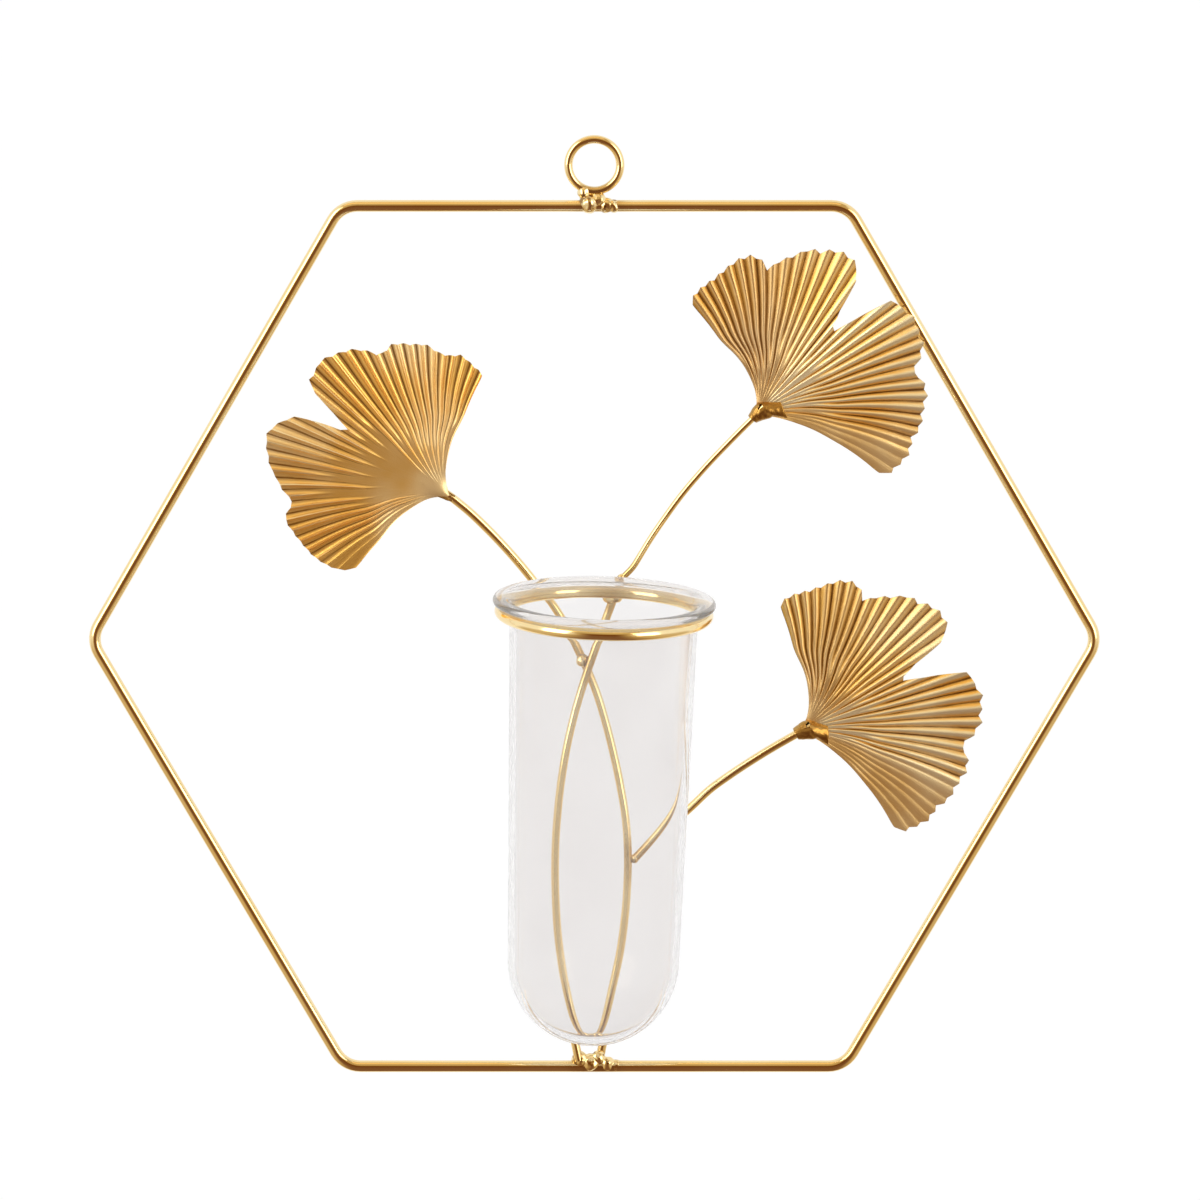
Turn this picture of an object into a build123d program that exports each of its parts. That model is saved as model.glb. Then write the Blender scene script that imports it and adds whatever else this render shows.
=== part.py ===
from build123d import *
import math
import os

# Hanging wall vase: a glass tube stands in a wire hoop, on a wire hexagon with three pleated leaves.
# Millimetres and degrees. +Z is up, -Y faces the room, +Y faces the wall.
# The origin is the centre of the hanging eye. Shares of a path or outline count from the middle of
# the hexagon, in lengths of its side, unless their name says otherwise.

# Hexagon
hexagon_side = 150.0
frame_wire = 3.5
frame_bend = 8.5
butt_gap = 0.3
corner_angles = (120, 180, 240, 300, 360, 60)

# Hanging eye, a small ring above the top side
eye_bore = 12.8
eye_wire = 2.5
eye_gap = 1.5

# Stems and petioles, bent from wire
stem_wire = 2.6
upper_petiole_wire = 1.9
lower_petiole_wire = 2.5
stem_gap = 0.3
foot_gap = 0.3
joint_gap = 0.6
bend_share = 0.45

# Glass tube and the hoop that carries it
tube_radius = 27.7
dome_radius = 25.4
glass_wall = 2.0
glass_drop = 130.5
flare_drop = 2.4
lip_thickness = 2.4
lip_overhang = 1.2
seat_gap = 0.3
tube_clearance = 0.75
hoop_wire = 3.5
hoop_x_share = 0.019
hoop_z_share = 0.093
hoop_roll = 1.7
hoop_pitch = 2.5
lip_clearance = 0.8

# Leaves: pleated sheet, the right two alike and the left one turned over and cut to its own margin
leaf_reach = 55.5
leaf_sheet = 0.5
pleats = 34
pleat_rise = 1.3
leaf_cup = 3.0
scallop_share = 0.012
leaf_clearance = 0.6

# Socket on the leaf's face: it closes over the stalk's end, then folds flat towards one margin
socket_length = 7.4
socket_tail = 1.0
socket_wall = 0.5
socket_flare = 0.8
socket_skew = 4.0
socket_turn = -31.0
socket_toe = 1.5
socket_seat = 0.15
socket_play = 0.2
stalk_grip = 4.2
overrun = 1.0

# Weld beads, each named for the radius of its largest lump
eye_bead = 3.3
foot_bead = 3.0
crossing_bead = 2.3
hoop_bead = 3.0
petiole_bead = 1.6

# Lumps of the beads, in shares of the bead: across, up and radius
eye_lump_shares = [
    (-0.95, 1.25, 0.58), (-0.5, 0.3, 1), (0.3, 0.55, 0.85), (1.05, 0.05, 0.78), (1.8, 0, 0.65),
]
foot_lump_shares = [
    (-1.45, 0.75, 0.85), (-0.35, 0.4, 1), (0.4, 0.85, 0.8), (1.3, 0.25, 0.82), (2.15, 0.05, 0.65),
]
hoop_lump_shares = [(1.2, -0.35, 1), (0.6, -0.5, 0.8)]
single_lump_share = [(0, 0, 1)]

# Stem paths: across, depth from the start's plane to the end's plane, up
left_stem_shares = [
    (-0.031, 0, None), (-0.049, 0, -0.766), (-0.065, 0, -0.678), (-0.078, 0, -0.587),
    (-0.083, 0, -0.489), (-0.082, 0, -0.400), (-0.073, 0, -0.303), (-0.058, 0, -0.212),
    (-0.036, 0, -0.125), (-0.009, 0, -0.044), (0.019, 0, 0.032), (0.039, 0, 0.086), (0.055, 0, 0.124),
]
right_stem_shares = [
    (0.011, 0, None), (0.025, 0, -0.778), (0.039, 0, -0.703), (0.055, 0, -0.631), (0.067, 0, -0.540),
    (0.071, 0, -0.438), (0.065, 0, -0.357), (0.049, 0, -0.272), (0.029, 0, -0.189), (0.005, 0, -0.108),
    (-0.025, 0, -0.040), (-0.066, 0, 0.041), (-0.106, 0.17, 0.097), (-0.149, 0.38, 0.152),
    (-0.197, 0.59, 0.206), (-0.246, 0.86, 0.255), (-0.284, 1, 0.286),
]
upper_petiole_shares = [
    (0.055, 0, 0.124), (0.077, 0.04, 0.146), (0.114, 0.14, 0.209), (0.172, 0.40, 0.293),
    (0.227, 0.66, 0.358), (0.289, 0.92, 0.423), (0.316, 1, 0.450),
]
lower_petiole_shares = [
    (0.085, 0, -0.444), (0.121, 0.27, -0.407), (0.157, 0.50, -0.371), (0.194, 0.70, -0.337),
    (0.230, 0.78, -0.301), (0.290, 0.90, -0.258), (0.349, 0.97, -0.220), (0.406, 1, -0.187),
]

# Where the stems' weld bead sits, in the fork above their crossing
crossing_shares = (-0.025, 0, -0.042)

# Leaf margins, from one corner round to the other: degrees from the notch, share of the reach
right_margin_shares = [
    (-73.3, 0.745), (-72.2, 0.785), (-68.0, 0.810), (-62.5, 0.850), (-56.5, 0.850), (-52.5, 0.887),
    (-46.0, 0.900), (-40.5, 0.930), (-35.5, 0.915), (-32.5, 0.870), (-30.0, 0.920), (-25.0, 0.980),
    (-21.0, 0.980), (-17.5, 1.000), (-14.5, 1.000), (-12.0, 0.970), (-9.0, 0.985), (-7.0, 0.940),
    (-5.5, 0.840), (-3.5, 0.720), (-1.5, 0.635), (0.0, 0.610), (1.5, 0.640), (3.2, 0.740),
    (4.6, 0.870), (6.5, 0.960), (9.0, 0.985), (12.5, 1.000), (17.0, 0.985), (20.5, 0.945),
    (23.5, 0.950), (27.5, 0.895), (31.0, 0.860), (34.0, 0.835), (36.5, 0.780), (39.0, 0.835),
    (42.5, 0.865), (48.0, 0.845), (53.5, 0.800), (58.5, 0.765), (63.0, 0.750), (68.5, 0.725),
    (71.0, 0.690),
]
left_margin_shares = [
    (-69.5, 0.640), (-67.0, 0.700), (-62.3, 0.750), (-56.0, 0.800), (-50.4, 0.830), (-44.0, 0.870),
    (-39.8, 0.900), (-34.1, 0.840), (-29.4, 0.910), (-25.7, 0.940), (-23.4, 0.976), (-19.9, 1.000),
    (-15.2, 1.035), (-12.2, 1.045), (-8.3, 0.990), (-5.4, 0.960), (-4.1, 0.922), (-2.7, 0.836),
    (-1.4, 0.690), (0.0, 0.630), (1.8, 0.650), (3.0, 0.720), (4.0, 0.820), (5.7, 0.970),
    (7.6, 0.992), (10.4, 0.985), (14.1, 1.018), (17.9, 0.992), (21.1, 0.976), (24.6, 0.954),
    (28.1, 0.911), (30.5, 0.863), (33.3, 0.852), (36.2, 0.890), (39.5, 0.874), (44.6, 0.847),
    (48.6, 0.842), (52.6, 0.785), (57.6, 0.765), (61.7, 0.777), (67.2, 0.724), (72.0, 0.691),
]
# How far the pleat lines have fanned out at shares of the reach: at the first corner, at the last
right_fan_shares = [
    (0.048, 0.58, 0.42), (0.110, 0.68, 0.52), (0.200, 0.77, 0.67), (0.430, 0.89, 0.925),
]
left_fan_shares = [
    (0.048, 0.42, 0.50), (0.110, 0.50, 0.60), (0.200, 0.67, 0.72), (0.430, 0.91, 0.92),
]

# Where things sit
apothem = hexagon_side * math.sqrt(3) / 2
eye_radius = (eye_bore + eye_wire) / 2
middle_z = -(apothem + frame_wire / 2 + eye_gap + eye_wire / 2 + eye_radius)
foot_z = middle_z - apothem + frame_wire / 2 + foot_gap
left_stem_y = -(stem_wire + stem_gap) / 2
right_stem_y = (stem_wire + stem_gap) / 2
stem_front = stem_wire / 2 - left_stem_y
hug_radius = hoop_wire / 2 + seat_gap
hoop_radius = tube_radius + tube_clearance + hug_radius
lip_radius = hoop_radius + lip_overhang + lip_thickness / 2
hoop_y = -(stem_front + lip_clearance + lip_radius)
hoop_place = Location(
    (hoop_x_share * hexagon_side, hoop_y, middle_z + hoop_z_share * hexagon_side),
    (hoop_pitch, hoop_roll, 0),
)

# A stalk lies on its leaf's face, in front of the sheet or, on the left leaf, behind it
stalk_seat = leaf_sheet / 2 + socket_seat
upper_leaf_y = -(frame_wire / 2 + leaf_clearance + (pleat_rise + leaf_sheet) / 2)
upper_stalk_y = upper_leaf_y - stalk_seat - upper_petiole_wire / 2
lower_leaf_y = 0.0
lower_stalk_y = lower_leaf_y - stalk_seat - lower_petiole_wire / 2
left_stalk_y = frame_wire / 2 - socket_wall - stem_wire / 2
left_leaf_y = left_stalk_y - stalk_seat - stem_wire / 2
left_leaf_heading = 147.4
upper_leaf_heading = 48.2
lower_leaf_heading = 27.5


def placed(across_share, depth, up_share):
    """A point given in shares of the hexagon's side; no up share means the foot."""
    height = foot_z if up_share is None else middle_z + up_share * hexagon_side
    return Vector(across_share * hexagon_side, depth, height)


def stem_points(shares, start_y, end_y):
    return [placed(x, start_y + (end_y - start_y) * depth, z) for x, depth, z in shares]


def heading_vector(heading):
    angle = math.radians(heading)
    return Vector(math.cos(angle), 0, math.sin(angle))


def bend_radii(points):
    """The largest tangent arcs that the runs beside each corner allow."""
    radii = []
    for before, corner, after in zip(points, points[1:], points[2:]):
        turn = (corner - before).get_angle(after - corner)
        run = min((corner - before).length, (after - corner).length)
        radii.append(bend_share * run / math.tan(math.radians(turn / 2)))
    return radii


def bent_wire(points, diameter, radius):
    """Round wire along straight runs joined by tangent arcs."""
    path = FilletPolyline(*points, radius=radius)
    section = Plane(origin=path @ 0, z_dir=path % 0) * Circle(diameter / 2)
    return sweep(section, path=path)


def bead(centre, size, lump_shares, wires):
    """A weld bead of lumps run together round a centre, up to the wires that it joins."""
    blob = None
    for across, up, radius in lump_shares:
        ball = Pos(centre + Vector(across, 0, up) * size) * Sphere(radius * size)
        blob = ball if blob is None else blob + ball
    for wire in wires:
        blob = blob - wire
    return blob


def hex_frame():
    corners = [heading_vector(angle) * hexagon_side for angle in corner_angles]
    ends = [Vector(-butt_gap / 2, 0, apothem), Vector(butt_gap / 2, 0, apothem)]
    points = [point + Vector(0, 0, middle_z) for point in [ends[0], *corners, ends[1]]]
    return bent_wire(points, frame_wire, frame_bend)


def hanging_eye():
    return Rot(90, 0, 0) * Torus(eye_radius, eye_wire / 2)


def vase_ring():
    return hoop_place * Torus(hoop_radius, hoop_wire / 2)


def glass_tube():
    """Test-tube shape: domed foot, slight taper, and a lip that rolls out over the hoop."""
    dome_z = dome_radius - glass_drop
    inner_dome = dome_radius - glass_wall
    inner_radius = tube_radius - glass_wall
    roll_radius = hug_radius + lip_thickness
    lip_centre = hoop_radius + lip_overhang
    low_outer = (dome_radius, dome_z)
    low_inner = (inner_dome, dome_z)
    edges = [
        CenterArc((0, dome_z), dome_radius, -90, 90),
        Line(low_outer, (tube_radius, -flare_drop)),
        Line((tube_radius, -flare_drop), (hoop_radius - hug_radius, 0)),
        CenterArc((hoop_radius, 0), hug_radius, 90, 90),
        Line((hoop_radius, hug_radius), (lip_centre, hug_radius)),
        CenterArc((lip_centre, hug_radius + lip_thickness / 2), lip_thickness / 2, -90, 180),
        Line((lip_centre, roll_radius), (hoop_radius, roll_radius)),
        CenterArc((hoop_radius, 0), roll_radius, 90, 90),
        Line((hoop_radius - roll_radius, 0), (inner_radius, -flare_drop)),
        Line((inner_radius, -flare_drop), low_inner),
        CenterArc((0, dome_z), inner_dome, -90, 90),
        Line((0, dome_z - dome_radius), (0, dome_z - inner_dome)),
    ]
    profile = Plane.XZ * make_face(Curve() + edges)
    return hoop_place * revolve(profile, Axis.Z)


def margin_reach(margin_shares, angle):
    """Distance from the neck to the margin at an angle from the notch."""
    for (low, low_share), (high, high_share) in zip(margin_shares, margin_shares[1:]):
        if angle <= high:
            between = (angle - low) / (high - low)
            return leaf_reach * (low_share + (high_share - low_share) * between)
    return leaf_reach * margin_shares[-1][1]


def leaf_line(margin_shares, fan_shares, column):
    """One fold of the sheet, neck to margin, as points of its middle surface."""
    first, last = margin_shares[0][0], margin_shares[-1][0]
    place = column / (2 * pleats)
    angle = first + (last - first) * place
    fold = 1 if column % 2 else -1
    margin = margin_reach(margin_shares, angle) * (1 + scallop_share * fold)
    stations = [(share * leaf_reach, *spreads) for share, *spreads in fan_shares] + [(margin, 1, 1)]
    points = []
    for radius, first_spread, last_spread in stations:
        out = radius / leaf_reach
        turn = math.radians(angle * (first_spread + (last_spread - first_spread) * place))
        lift = fold * pleat_rise / 2 * out - leaf_cup * (out * angle / last) ** 2
        points.append(Vector(radius * math.cos(turn), radius * math.sin(turn), lift))
    return points


def strip(line, other):
    """Ruled faces between two rows of points."""
    faces = []
    for index in range(len(line) - 1):
        side = Edge.make_line(line[index], line[index + 1])
        opposite = Edge.make_line(other[index], other[index + 1])
        faces.append(Face.make_surface_from_curves(side, opposite))
    return faces


def leaf_blade(margin_shares, fan_shares):
    """The pleated sheet, its neck at the origin, its notch along +X and its face to +Z."""
    half = Vector(0, 0, leaf_sheet / 2)
    lines = [leaf_line(margin_shares, fan_shares, column) for column in range(2 * pleats + 1)]
    tops = [[point + half for point in line] for line in lines]
    bottoms = [[point - half for point in line] for line in lines]
    faces = []
    for column in range(2 * pleats):
        faces += strip(tops[column], tops[column + 1])
        faces += strip(bottoms[column], bottoms[column + 1])
    for row in (0, -1):
        faces += strip([line[row] for line in tops], [line[row] for line in bottoms])
    for column in (0, -1):
        faces += strip(tops[column], bottoms[column])
    return Solid(Shell(faces))


def socket_section(foot, turn, half_width, height):
    """Flat against the leaf, arched over the stalk, on a plane that stands across the stalk."""
    angle = math.radians(turn)
    across = Vector(-math.sin(angle), math.cos(angle), 0) * half_width
    crown = foot + Vector(0, 0, height)
    edges = [ThreePointArc(foot - across, crown, foot + across), Line(foot + across, foot - across)]
    return make_face(Curve() + edges)


def leaf_socket(stalk_wire):
    """Sleeve on the leaf's face that covers the stalk's end and folds over to one side."""
    height = stalk_wire + socket_wall
    sleeve_half = stalk_wire / 2 + socket_wall
    near = Vector(-socket_tail, 0, stalk_seat)
    end = Vector(stalk_grip, -socket_flare, stalk_seat)
    far = Vector(socket_length, -socket_skew, stalk_seat)
    sleeve = loft(
        [
            socket_section(near, 0, sleeve_half + socket_wall, height),
            socket_section(end, 0, sleeve_half + socket_flare, height),
            socket_section(far, socket_turn, sleeve_half + socket_flare, socket_toe),
        ],
        ruled=True,
    )
    bore_length = socket_tail + stalk_grip + overrun
    middle = (bore_length / 2 - socket_tail - overrun, 0, stalk_seat + stalk_wire / 2)
    bore = Pos(middle) * Rot(0, 90, 0) * Cylinder(stalk_wire / 2 + socket_play, bore_length)
    return sleeve - bore


def leaf_plane(neck_share_point, leaf_y, heading, facing):
    """Plane of a leaf: its notch along the heading, its stalk on the side that faces along Y."""
    across_share, _, up_share = neck_share_point
    return Plane(
        origin=placed(across_share, leaf_y, up_share),
        x_dir=heading_vector(heading),
        z_dir=(0, facing, 0),
    )


def stalk_points(shares, start_y, end_y, heading):
    """A stem's points, with its end run on along the leaf inside the socket."""
    points = stem_points(shares, start_y, end_y)
    return points + [points[-1] + heading_vector(heading) * stalk_grip]


def started_after(points, gap):
    """The same path, started a little later, so that a weld bead can fill the gap."""
    first, second = points[0], points[1]
    return [first + (second - first).normalized() * gap] + points[1:]


def ring_weld(hoop, stem):
    """Chunky bead behind the hoop, kept out of the way of the glass."""
    back = Vector(0, hoop_radius + hoop_wire / 2, 0)
    blob = hoop_place * bead(back, hoop_bead, hoop_lump_shares, [])
    above = Pos(0, 0, glass_drop / 2) * Cylinder(lip_radius + seat_gap, glass_drop)
    inside = Cylinder(hoop_radius - hoop_wire / 2, glass_drop)
    return blob - hoop - stem - hoop_place * above - hoop_place * inside


def build():
    left_points = stem_points(left_stem_shares, left_stem_y, left_stem_y)
    right_points = stalk_points(right_stem_shares, right_stem_y, left_stalk_y, left_leaf_heading)
    upper_points = started_after(
        stalk_points(upper_petiole_shares, left_stem_y, upper_stalk_y, upper_leaf_heading), joint_gap
    )
    lower_points = stalk_points(lower_petiole_shares, right_stem_y, lower_stalk_y, lower_leaf_heading)

    left_stem = bent_wire(left_points, stem_wire, bend_radii(left_points))
    right_stem = bent_wire(right_points, stem_wire, bend_radii(right_points))
    upper_petiole = bent_wire(upper_points, upper_petiole_wire, bend_radii(upper_points))
    lower_petiole = bent_wire(lower_points, lower_petiole_wire, bend_radii(lower_points)) - right_stem
    frame = hex_frame()
    eye = hanging_eye()
    hoop = vase_ring()
    stems = [left_stem, right_stem]
    right_blade = leaf_blade(right_margin_shares, right_fan_shares)
    crossing = placed(*crossing_shares)

    left_leaf_plane = leaf_plane(right_stem_shares[-1], left_leaf_y, left_leaf_heading, 1)
    upper_leaf_plane = leaf_plane(upper_petiole_shares[-1], upper_leaf_y, upper_leaf_heading, -1)
    lower_leaf_plane = leaf_plane(lower_petiole_shares[-1], lower_leaf_y, lower_leaf_heading, -1)

    return {
        "hex_frame": frame,
        "hanging_eye": eye,
        "eye_weld": bead(Vector(0, 0, middle_z + apothem), eye_bead, eye_lump_shares, [frame, eye]),
        "foot_weld": bead(
            Vector(0, 0, middle_z - apothem), foot_bead, foot_lump_shares, [frame, *stems]
        ),
        "left_stem": left_stem,
        "right_stem": right_stem,
        "crossing_weld": bead(crossing, crossing_bead, single_lump_share, stems),
        "vase_ring": hoop,
        "ring_weld": ring_weld(hoop, left_stem),
        "upper_petiole": upper_petiole,
        "upper_petiole_weld": bead(
            left_points[-1], petiole_bead, single_lump_share, [left_stem, upper_petiole]
        ),
        "lower_petiole": lower_petiole,
        "lower_petiole_weld": bead(
            lower_points[0], petiole_bead, single_lump_share, [right_stem, lower_petiole]
        ),
        "left_leaf": left_leaf_plane.location * leaf_blade(left_margin_shares, left_fan_shares),
        "upper_right_leaf": upper_leaf_plane.location * right_blade,
        "lower_right_leaf": lower_leaf_plane.location * right_blade,
        "left_leaf_socket": left_leaf_plane.location * leaf_socket(stem_wire),
        "upper_right_leaf_socket": upper_leaf_plane.location * leaf_socket(upper_petiole_wire),
        "lower_right_leaf_socket": lower_leaf_plane.location * leaf_socket(lower_petiole_wire),
        "glass_tube": glass_tube(),
    }


os.makedirs("parts", exist_ok=True)
for node, shape in build().items():
    export_step(shape, f"parts/{node}.step")
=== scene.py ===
import math
import random

import bmesh
import bpy
import numpy as np
from mathutils import Matrix, Vector, noise


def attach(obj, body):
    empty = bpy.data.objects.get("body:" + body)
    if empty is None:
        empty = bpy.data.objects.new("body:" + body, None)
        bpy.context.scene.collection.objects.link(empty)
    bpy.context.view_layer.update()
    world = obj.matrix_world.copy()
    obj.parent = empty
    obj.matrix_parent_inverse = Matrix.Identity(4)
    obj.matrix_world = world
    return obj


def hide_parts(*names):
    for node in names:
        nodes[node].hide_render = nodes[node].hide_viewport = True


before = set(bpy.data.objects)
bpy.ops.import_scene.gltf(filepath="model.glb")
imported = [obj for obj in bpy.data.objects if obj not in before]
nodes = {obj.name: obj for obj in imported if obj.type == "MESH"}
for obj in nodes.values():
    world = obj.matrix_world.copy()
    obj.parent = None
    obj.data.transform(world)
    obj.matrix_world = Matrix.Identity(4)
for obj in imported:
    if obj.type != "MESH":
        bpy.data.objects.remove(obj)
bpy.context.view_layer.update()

# Sizes and places are those of the solids, in millimetres; MM turns them into metres.
MM = 0.001
SIDE = 150.0
MIDDLE_Z = -142.054
APOTHEM = SIDE * math.sqrt(3) / 2

# Hoop and glass tube, both in the hoop's own frame, where the tube's axis is Z
HOOP_CENTRE = (2.85, -36.45, -128.104)
HOOP_PITCH = 2.5
HOOP_ROLL = 1.7
HOOP_PLACE = (
    Matrix.Translation(Vector(HOOP_CENTRE) * MM)
    @ Matrix.Rotation(math.radians(HOOP_PITCH), 4, "X")
    @ Matrix.Rotation(math.radians(HOOP_ROLL), 4, "Y")
)
HOOP_RADIUS = 30.5
HUG_RADIUS = 2.05
HUG_ANGLE = 168
TUBE_RADIUS = 27.7
DOME_RADIUS = 25.4
GLASS_WALL = 2.0
GLASS_DROP = 130.5
LIP_THICKNESS = 2.4
LIP_OVERHANG = 1.2

# The lip's finely turned edge stays this far inside the solid's, which is made of flats.
LIP_SHY = 0.03

# Where the wall eases into the lip: where it starts, then how far it has opened at each height
OUTER_EASE_START = -3.4
OUTER_EASE = ((0.06, -2.4), (0.22, -1.3), (0.48, -0.55))
INNER_EASE_START = -2.8
INNER_EASE = ((0.22, -0.7), (0.08, -1.6))

# How finely the glass is turned: points along a wall or dome, the hoop's hug, the lip and round
WALL_POINTS = 26
HUG_POINTS = 9
LIP_POINTS = 13
GLASS_AROUND = 240
ON_AXIS = 1e-6

# Leaves: the sheet's reach, its thickness, the folds' rise and the cupping of its sides
REACH = 55.5
SHEET = 0.5
RISE = 1.3
CUP = 3.0
STATION_SHARES = (0.048, 0.110, 0.200, 0.430)
NECK_RADIUS = 0.9
SOCKET_STATIONS = (-1.0, 3.0, 7.4)

# Leaf mesh: rows from neck to margin, columns to a fold, and the steps out along a fold line, in
# millimetres, over which its bends are evened
LEAF_ROWS = 44
FOLD_COLUMNS = 8
BEND_NUDGES = np.array((-2.2, -1.1, 0.0, 1.1, 2.2))

# The solid's points that count as one station, in millimetres or degrees, and as one fold
SAME_PLACE = 0.02
SAME_FOLD = 0.3

# Leaf folds, as shares of the reach or of a fold, with the edges of zones in degrees
FOLD_DRIFT = 0.12
VALLEY_DEPTHS = (0.86, 1.0)
LONG_STARTS = (0.05, 0.10)
SHORT_STARTS = (0.16, 0.34)
SHORT_ZONE_DELAY = 0.30
SHORT_ZONE_EDGE = 4
SMOOTH_ZONE_LOSS = 0.80
SMOOTH_ZONE_EDGE = 3
VALLEY_RAMP = 0.22
GROOVE_SPAN = (0.04, 0.26)
OPENING_POWER = 0.75

# Leaf unevenness: the sides' lift at the neck, and slow waves of a height and scale
NECK_LIFT = 0.8
NECK_SPAN = (0.06, 0.22)
LEAF_WAVE_HEIGHT = 0.22
LEAF_WAVE_SCALE = 0.06
CREASE_ANGLE = 60

# Leaf crest levels, which paint highlights on crests and shade in valleys: the level of the under
# side's flats and the painted shade in its grooves, then where the painted shade of one lobe sets
# in, from the notch at 0 to the side at 1. Crests have a level of 1 and full valleys of 0.
UNDER_FLAT_LEVEL = 0.50
GROOVE_SHADE = 0.45
SHADED_LOBE_SPAN = (-0.1, 0.6)

# Past every leaf's sides, for a leaf that has no such zone
NO_ZONE = (200, 210)

# Skins of lumps and sleeves: how strong a round of softening is, then for each the voxel in
# millimetres and the rounds. Dents are pairs of noise scale and depth in millimetres.
SOFTENING = 0.5
BEAD_SKIN = (0.16, 12)
BEAD_DENTS = ((380, 0.30), (900, 0.10))
SOCKET_SKIN = (0.14, 6)
SOCKET_DENTS = ((330, 0.24), (900, 0.10))

# Studio, in metres: what the lamps point at, and how far below it the floor lies
CENTRE = Vector((0, -0.02, -0.142))
FLOOR_Z = -1.65
FLOOR_HALF = 30.0

# Each lamp has a name, place, size, brightness and colour.
LAMPS = (
    ("window", (-1.9, -1.5, 0.75), (1.3, 2.2), 3.0, (1.0, 0.92, 0.74)),
    ("soft_box_top", (-0.15, -0.7, 1.5), (1.6, 0.9), 0.45, (1.0, 0.72, 0.36)),
    ("soft_box_right", (1.7, -1.6, 0.45), (1.1, 1.8), 3.0, (1.0, 0.88, 0.66)),
)

# Camera: the photograph's view, fitted to the hexagon's corners and the hoop's ellipse
ELEVATION = math.radians(9.46)
DISTANCE = 3.0
TARGET = Vector((0.00168, 0, -0.130254))
LENS = 302.5
SENSOR_WIDTH = 36


def make_camera():
    camera = bpy.data.objects.new("camera", bpy.data.cameras.new("camera"))
    camera.data.sensor_width = SENSOR_WIDTH
    camera.data.lens = LENS
    forward = Vector((0, math.cos(ELEVATION), -math.sin(ELEVATION)))
    camera.location = TARGET - forward * DISTANCE
    camera.rotation_euler = (math.pi / 2 - ELEVATION, 0, 0)
    bpy.context.scene.collection.objects.link(camera)
    bpy.context.scene.camera = camera
    bpy.context.scene.view_settings.view_transform = "Standard"


# Node helpers

def add(tree, kind, inputs=None, **settings):
    made = tree.nodes.new(kind)
    for key, value in settings.items():
        setattr(made, key, value)
    for key, value in (inputs or {}).items():
        if isinstance(value, bpy.types.NodeSocket):
            tree.links.new(value, made.inputs[key])
        else:
            made.inputs[key].default_value = value
    return made


def maths(tree, operation, first, second=0.0):
    return add(tree, "ShaderNodeMath", {0: first, 1: second}, operation=operation).outputs[0]


def vector_maths(tree, operation, first, second):
    return add(tree, "ShaderNodeVectorMath", {0: first, 1: second}, operation=operation).outputs


def ranged(tree, value, span, to=(0.0, 1.0)):
    """The value eased from one span to another, and held past the span's ends."""
    inputs = {
        "Value": value, "From Min": span[0], "From Max": span[1], "To Min": to[0], "To Max": to[1],
    }
    made = add(tree, "ShaderNodeMapRange", inputs, interpolation_type="SMOOTHSTEP")
    return made.outputs["Result"]


def blended(tree, factor, first, second):
    inputs = {0: factor, 2: first, 3: second}
    return add(tree, "ShaderNodeMix", inputs, data_type="FLOAT").outputs[0]


def mixed(tree, factor, first, second):
    inputs = {0: factor, 6: first, 7: second}
    return add(tree, "ShaderNodeMix", inputs, data_type="RGBA").outputs[2]


def noisy(tree, vector, scale, detail, roughness, distortion=0.0):
    inputs = {
        "Vector": vector, "Scale": scale, "Detail": detail,
        "Roughness": roughness, "Distortion": distortion,
    }
    return add(tree, "ShaderNodeTexNoise", inputs).outputs["Fac"]


def bumped(tree, height, strength, distance, normal=None):
    inputs = {"Height": height, "Strength": strength, "Distance": distance}
    if normal is not None:
        inputs["Normal"] = normal
    return add(tree, "ShaderNodeBump", inputs).outputs["Normal"]


def new_material(name):
    material = bpy.data.materials.new(name)
    material.use_nodes = True
    tree = material.node_tree
    tree.nodes.clear()
    output = tree.nodes.new("ShaderNodeOutputMaterial")
    return material, tree, output


def object_place(tree):
    return tree.nodes.new("ShaderNodeTexCoord").outputs["Object"]


# Studio: white to the camera and behind the vase. Metal sees white beside it, gold light overhead
# and a warm dark room ahead of it and below.

# What metal sees of the room, by level from dark over gold to white, and what dull surfaces see
ROOM_TONES = ((0.0, (0.16, 0.05, 0.002, 1)), (0.55, (0.56, 0.40, 0.18, 1)), (1.0, (1, 1, 1, 1)))
DIFFUSE_LIGHT = (0.42, 0.42, 0.42, 1)
WHITE = (1, 1, 1, 1)

# Spans of a direction's X, Y or Z, and the levels that they give where those aren't 0 to 1
BESIDE_SPAN = (0.20, 0.68)
LOW_SPAN, LOW_LEVELS = (-0.6, 0.1), (0.6, 1.0)
OVERHEAD_SPAN, OVERHEAD_LEVELS = (0.12, 0.5), (0.0, 0.58)
BELOW_SPAN, BELOW_SHIFTS = (-0.6, -0.1), (-0.4, 0.0)
BEHIND_SPAN = (-0.35, 0.15)
REFRACTED_SPAN, REFRACTED_LEVELS = (0.15, 0.85), (0.78, 1.0)


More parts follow.
